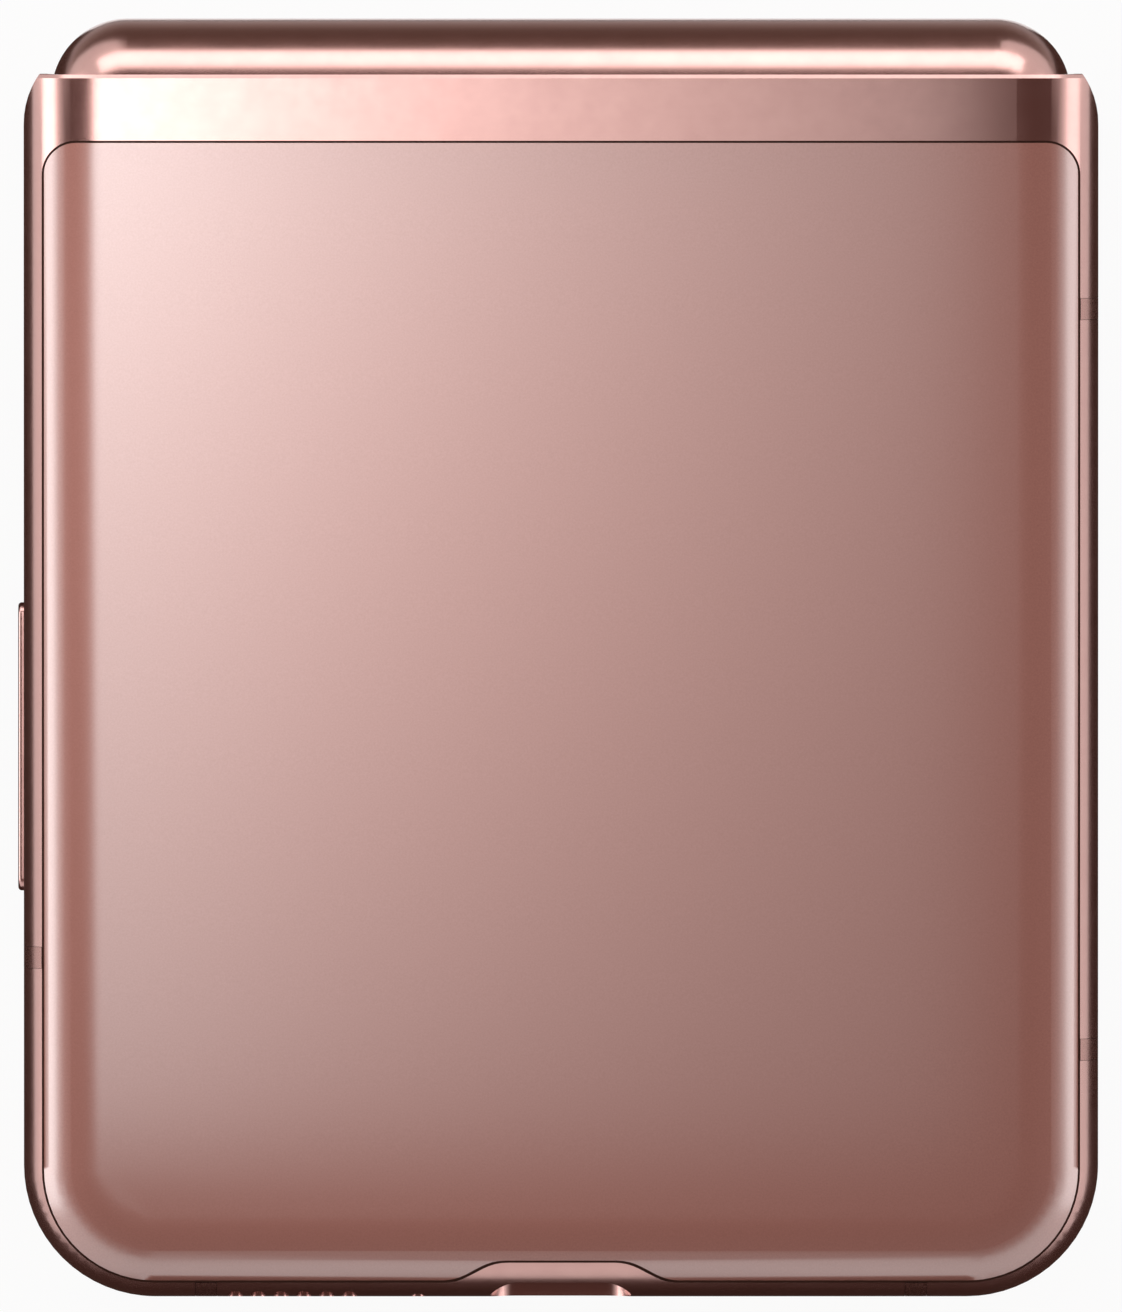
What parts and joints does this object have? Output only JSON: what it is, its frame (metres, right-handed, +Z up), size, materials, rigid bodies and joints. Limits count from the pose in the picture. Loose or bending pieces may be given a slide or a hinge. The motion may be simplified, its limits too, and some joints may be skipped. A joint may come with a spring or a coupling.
{
  "type": "flip phone",
  "caption": "Clamshell phone with a folding screen, shut: slim glass-backed halves on a rounded spine that opens flat on a geared hinge, with side keys and a card tray.",
  "frame": {"origin": "middle of the shut phone's footprint, on the flat back of the camera half", "axes": "+Z up through the shut phone, +Y towards the hinge spine, +X to the right seen from above with the spine away"},
  "size_m": [0.0741, 0.0876, 0.0173],
  "materials": {
    "bronze_frame": "polished bronze anodised",
    "bronze_spine": "satin bronze anodised",
    "bronze_glass": "matt, bronze backed",
    "break_plastic": "moulded bronze",
    "bezel_plastic": "moulded black",
    "screen_glass": "black, glossy",
    "rubber": "moulded black",
    "steel": "machined",
    "camera_ring": "polished bronze anodised",
    "black_plastic": "moulded black",
    "lens": "coated",
    "flash": "clear yellow",
    "board": "solder-masked board",
    "cell_wrap": "black film",
    "ferrite": "grey film",
    "copper": "enamelled copper"
  },
  "bodies": {
    "upper_half": {"upper_frame": "bronze_frame", "upper_glass": "bronze_glass", "upper_breaks": "break_plastic", "upper_bezel": "bezel_plastic", "earpiece_mesh": "bezel_plastic", "upper_panel": "screen_glass", "upper_wing": "steel", "upper_arms": "steel", "upper_arm_screws": "steel", "upper_bumpers": "rubber", "camera_rings": "camera_ring", "camera_windows": "screen_glass", "camera_modules": "black_plastic", "camera_lenses": "lens", "flash_lens": "flash", "cover_window": "screen_glass", "cover_screen": "black_plastic", "key_switches": "board", "card_reader": "steel", "upper_cell": "cell_wrap", "main_board": "board", "shield_cans": "steel", "front_camera": "black_plastic", "receiver": "black_plastic"},
    "hinge_spine": {"spine_cover": "bronze_spine", "hinge_brackets": "steel", "shaft_supports": "steel", "spring_discs": "steel", "fold_support": "steel", "display_fold": "screen_glass"},
    "lower_half": {"lower_frame": "bronze_frame", "lower_glass": "bronze_glass", "lower_breaks": "break_plastic", "lower_bezel": "bezel_plastic", "lower_panel": "screen_glass", "lower_wing": "steel", "lower_arms": "steel", "lower_arm_screws": "steel", "lower_bumpers": "rubber", "socket_shell": "steel", "socket_tongue": "black_plastic", "lower_cell": "cell_wrap", "coil_sheet": "ferrite", "charging_coil": "copper", "charge_board": "board", "speaker": "black_plastic", "speaker_mesh": "steel", "vibration_motor": "steel"},
    "upper_pinions": {"upper_pinions": "steel"},
    "lower_pinions": {"lower_pinions": "steel"},
    "upper_idlers": {"upper_idlers": "steel"},
    "lower_idlers": {"lower_idlers": "steel"},
    "volume_key": {"volume_key": "bronze_frame"},
    "power_key": {"power_key": "bronze_frame"},
    "card_tray": {"card_tray": "bronze_frame"}
  },
  "joints": [
    {"name": "spine_fold", "type": "hinge", "parent": "upper_half", "child": "hinge_spine", "pos_m": [0, 0.03812, 0.0067], "axis": [-1, 0, 0], "range_deg": [0, 89.34], "deforming": ["display_fold"]},
    {"name": "lower_fold", "type": "hinge", "parent": "hinge_spine", "child": "lower_half", "pos_m": [0, 0.03808, 0.0106], "axis": [-1, 0, 0], "range_deg": [0, 89.34]},
    {"name": "upper_pinion_turn", "type": "hinge", "parent": "hinge_spine", "child": "upper_pinions", "pos_m": [0, 0.04159, 0.00513], "axis": [-1, 0, 0], "range_deg": [0, 335.04]},
    {"name": "upper_idler_turn", "type": "hinge", "parent": "hinge_spine", "child": "upper_idlers", "pos_m": [0, 0.04112, 0.00728], "axis": [-1, 0, 0], "range_deg": [-191.45, 0]},
    {"name": "lower_idler_turn", "type": "hinge", "parent": "hinge_spine", "child": "lower_idlers", "pos_m": [0, 0.04109, 0.01008], "axis": [-1, 0, 0], "range_deg": [0, 191.45]},
    {"name": "lower_pinion_turn", "type": "hinge", "parent": "hinge_spine", "child": "lower_pinions", "pos_m": [0, 0.04151, 0.01225], "axis": [-1, 0, 0], "range_deg": [-335.04, 0]},
    {"name": "volume_press", "type": "slide", "parent": "upper_half", "child": "volume_key", "axis": [1, 0, 0], "range_m": [0, 0.00025], "stiffness_N_per_m": 4000},
    {"name": "power_press", "type": "slide", "parent": "upper_half", "child": "power_key", "axis": [1, 0, 0], "range_m": [0, 0.00025], "stiffness_N_per_m": 4000},
    {"name": "tray_slide", "type": "slide", "parent": "upper_half", "child": "card_tray", "axis": [1, 0, 0], "range_m": [0, 0.015]}
  ],
  "couplings": [
    {"joint": "lower_fold", "follows": "spine_fold", "ratio": 1},
    {"joint": "upper_pinion_turn", "follows": "spine_fold", "ratio": 3.75},
    {"joint": "upper_idler_turn", "follows": "spine_fold", "ratio": -2.1429},
    {"joint": "lower_idler_turn", "follows": "spine_fold", "ratio": 2.1429},
    {"joint": "lower_pinion_turn", "follows": "spine_fold", "ratio": -3.75}
  ]
}
